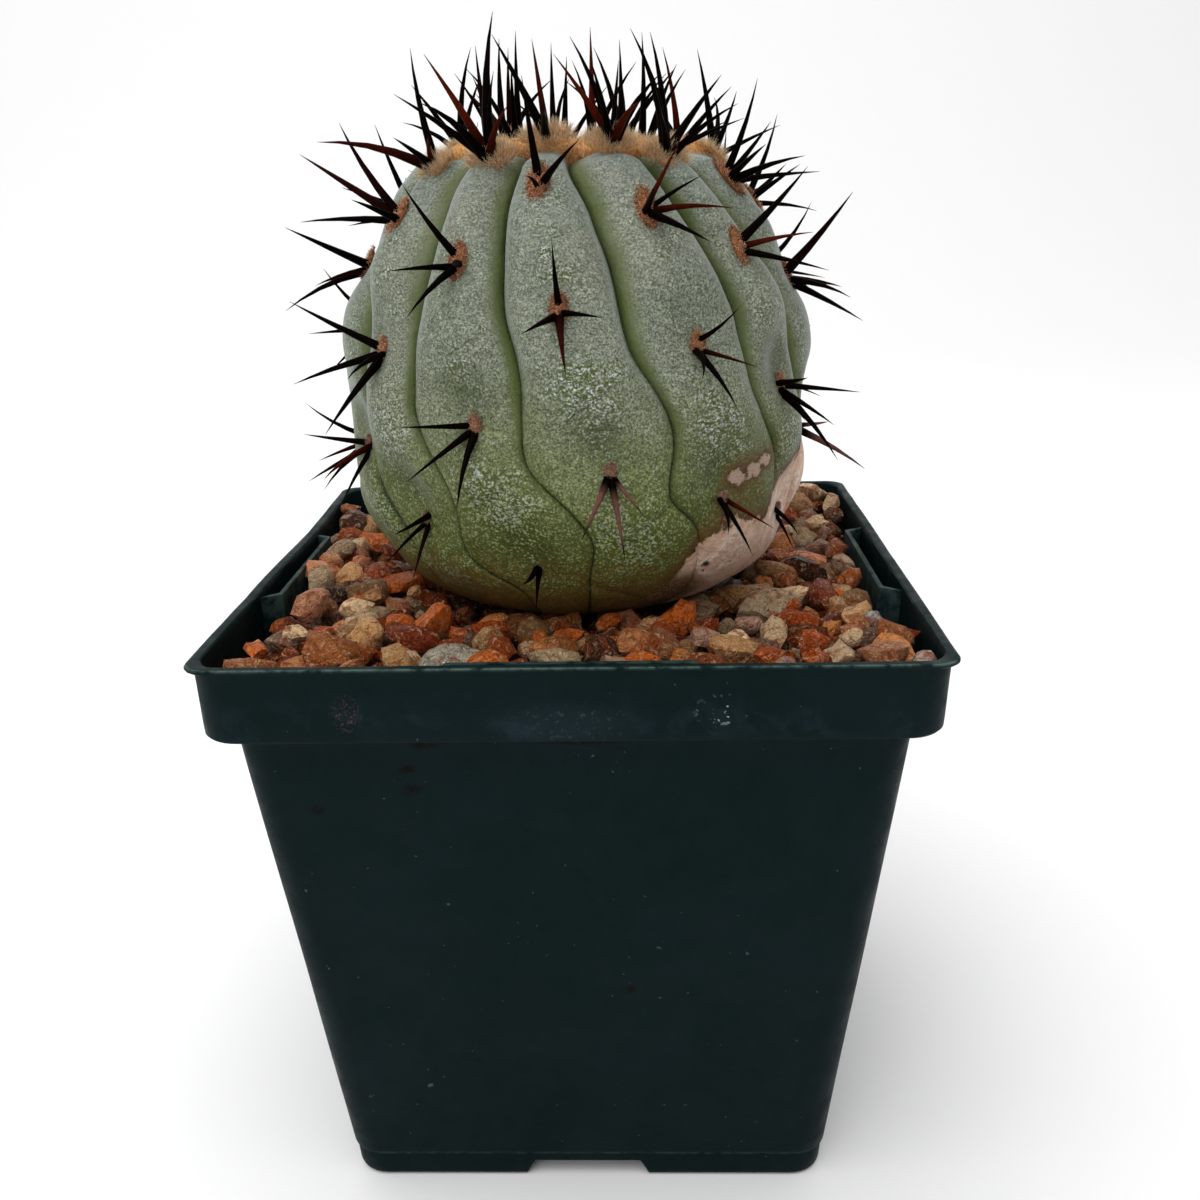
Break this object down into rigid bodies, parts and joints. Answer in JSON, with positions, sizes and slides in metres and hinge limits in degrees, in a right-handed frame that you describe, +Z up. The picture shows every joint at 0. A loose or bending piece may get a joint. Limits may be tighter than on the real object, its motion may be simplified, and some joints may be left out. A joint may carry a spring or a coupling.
{
  "type": "potted round cactus",
  "caption": "Globe cactus with broad grey-green ribs, long dark spines and a tan woolly crown, in a square dark green nursery pot topped with gravel.",
  "frame": {"origin": "centre of the pot's footprint, on the plane it stands on", "axes": "+Z up through the plant, -Y out of the front of the pot, +X to the right seen from the front"},
  "size_m": [0.114, 0.114, 0.1951],
  "materials": {
    "pot": "satin moulded plastic",
    "potting_soil": "damp bark and peat mix",
    "gravel": "rough broken stone",
    "cactus": "waxy skin",
    "crown_wool": "matted wool"
  },
  "bodies": {
    "root": {"pot": "pot", "potting_soil": "potting_soil", "gravel": "gravel", "cactus": "cactus", "crown_wool": "crown_wool"}
  },
  "joints": []
}
